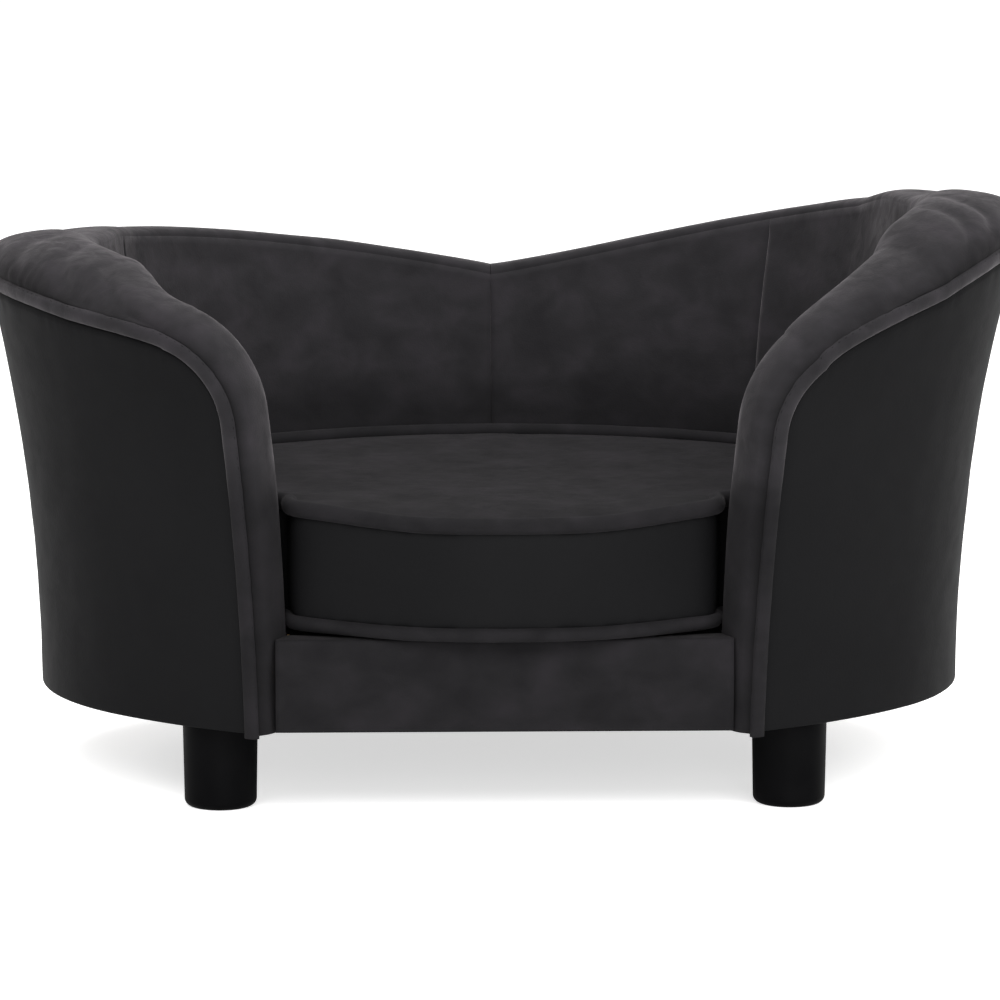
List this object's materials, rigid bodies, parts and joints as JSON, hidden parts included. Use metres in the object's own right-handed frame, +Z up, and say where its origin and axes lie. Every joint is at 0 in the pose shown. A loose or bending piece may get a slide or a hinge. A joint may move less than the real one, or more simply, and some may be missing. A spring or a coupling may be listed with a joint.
{
  "type": "pet sofa bed",
  "caption": "Tub-shaped upholstered pet sofa bed with a heart-shaped back, a loose zipped seat cushion and plastic feet.",
  "frame": {"origin": "on the floor under the middle of the sofa's box", "axes": "+X to the sofa's right seen from its front, +Y to its back, +Z up"},
  "size_m": [0.6937, 0.4861, 0.3759],
  "materials": {
    "black_plush": "matte",
    "faux_leather": "satin",
    "foam": "matte",
    "hardboard": "matte",
    "plywood": "matte",
    "pine": "matte",
    "lining_cloth": "matte",
    "foot_plastic": "satin",
    "zinc_steel": "satin",
    "zip_nylon": "satin"
  },
  "bodies": {
    "frame": {"base_board": "plywood", "centre_back_rib": "plywood", "deck_cloth": "lining_cloth", "deck_screws": "zinc_steel", "dust_cover": "lining_cloth", "frame_screws": "zinc_steel", "front_left_foot": "foot_plastic", "front_rail": "pine", "front_rail_cover": "black_plush", "front_right_foot": "foot_plastic", "hanger_bolts": "zinc_steel", "left_arm_lining": "black_plush", "left_back_lining": "black_plush", "left_back_rib": "plywood", "left_deck_rail": "pine", "left_edge_welt": "black_plush", "left_front_post": "plywood", "left_inner_board": "hardboard", "left_outer_board": "hardboard", "left_outer_leather": "faux_leather", "left_rim_band": "black_plush", "left_rim_padding": "foam", "left_side_rib": "plywood", "left_wall_foam": "foam", "left_wing_rib": "plywood", "rear_left_foot": "foot_plastic", "rear_right_foot": "foot_plastic", "right_arm_lining": "black_plush", "right_back_lining": "black_plush", "right_back_rib": "plywood", "right_deck_rail": "pine", "right_edge_welt": "black_plush", "right_front_post": "plywood", "right_inner_board": "hardboard", "right_outer_board": "hardboard", "right_outer_leather": "faux_leather", "right_rim_band": "black_plush", "right_rim_padding": "foam", "right_side_rib": "plywood", "right_wall_foam": "foam", "right_wing_rib": "plywood", "seat_deck": "plywood", "tee_nuts": "zinc_steel"},
    "cushion": {"cushion_bottom_panel": "lining_cloth", "cushion_bottom_welt": "black_plush", "cushion_boxing": "faux_leather", "cushion_foam": "foam", "cushion_top_panel": "black_plush", "cushion_top_welt": "black_plush", "zip_coil": "zip_nylon", "zip_stops": "zip_nylon", "zip_tape": "lining_cloth"},
    "slider": {"zip_slider": "zinc_steel"}
  },
  "joints": [
    {"name": "cushion_lift", "type": "slide", "parent": "frame", "child": "cushion", "axis": [0, 0, 1], "range_m": [0, 0.3]},
    {"name": "zip_travel", "type": "hinge", "parent": "cushion", "child": "slider", "pos_m": [0, -0.13489, 0.158], "axis": [0, 0, 1], "range_deg": [0, 36.15]}
  ]
}
